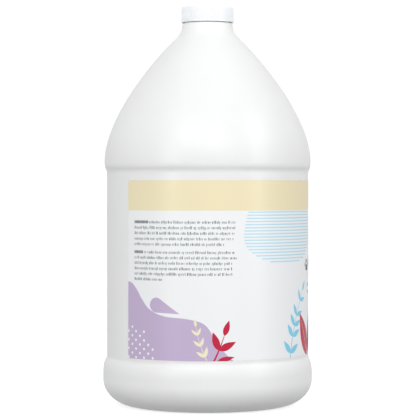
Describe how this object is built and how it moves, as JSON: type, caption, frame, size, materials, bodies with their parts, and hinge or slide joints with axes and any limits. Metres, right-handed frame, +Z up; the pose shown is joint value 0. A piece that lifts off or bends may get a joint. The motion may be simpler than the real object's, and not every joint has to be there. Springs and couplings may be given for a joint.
{
  "type": "shampoo bottle",
  "caption": "Round jug-style bottle with a domed shoulder, moulded-in hollow handle, recessed label panel, threaded neck, ribbed screw cap and foam liner.",
  "frame": {"origin": "on the bottle's axis, at the level of the ring that it stands on", "axes": "+Z up the bottle's axis to the cap, +Y to the moulded-in handle, +X to the middle of the wrap label"},
  "size_m": [0.158, 0.158, 0.3008],
  "materials": {
    "white_hdpe": "natural satin blow-moulded polyethylene, slightly translucent",
    "white_pp": "satin moulded polypropylene with fine vertical ribs",
    "liner_foam": "pressed closed-cell foam sheet",
    "printed_film": "white printed film with a satin over-varnish"
  },
  "bodies": {
    "bottle": {"bottle": "white_hdpe", "wrap_label": "printed_film"},
    "liner": {"cap_liner": "liner_foam"},
    "cap": {"cap": "white_pp"}
  },
  "joints": [
    {"name": "cap_rise", "type": "slide", "parent": "bottle", "child": "liner", "axis": [0, 0, 1], "range_m": [0, 0.0127]},
    {"name": "cap_turn", "type": "hinge", "parent": "liner", "child": "cap", "pos_m": [0, 0, 0.2936], "axis": [0, 0, 1], "range_deg": [0, 1080]}
  ],
  "couplings": [
    {"joint": "cap_rise", "follows": "cap_turn", "m_per_rad": 0.00067322}
  ]
}
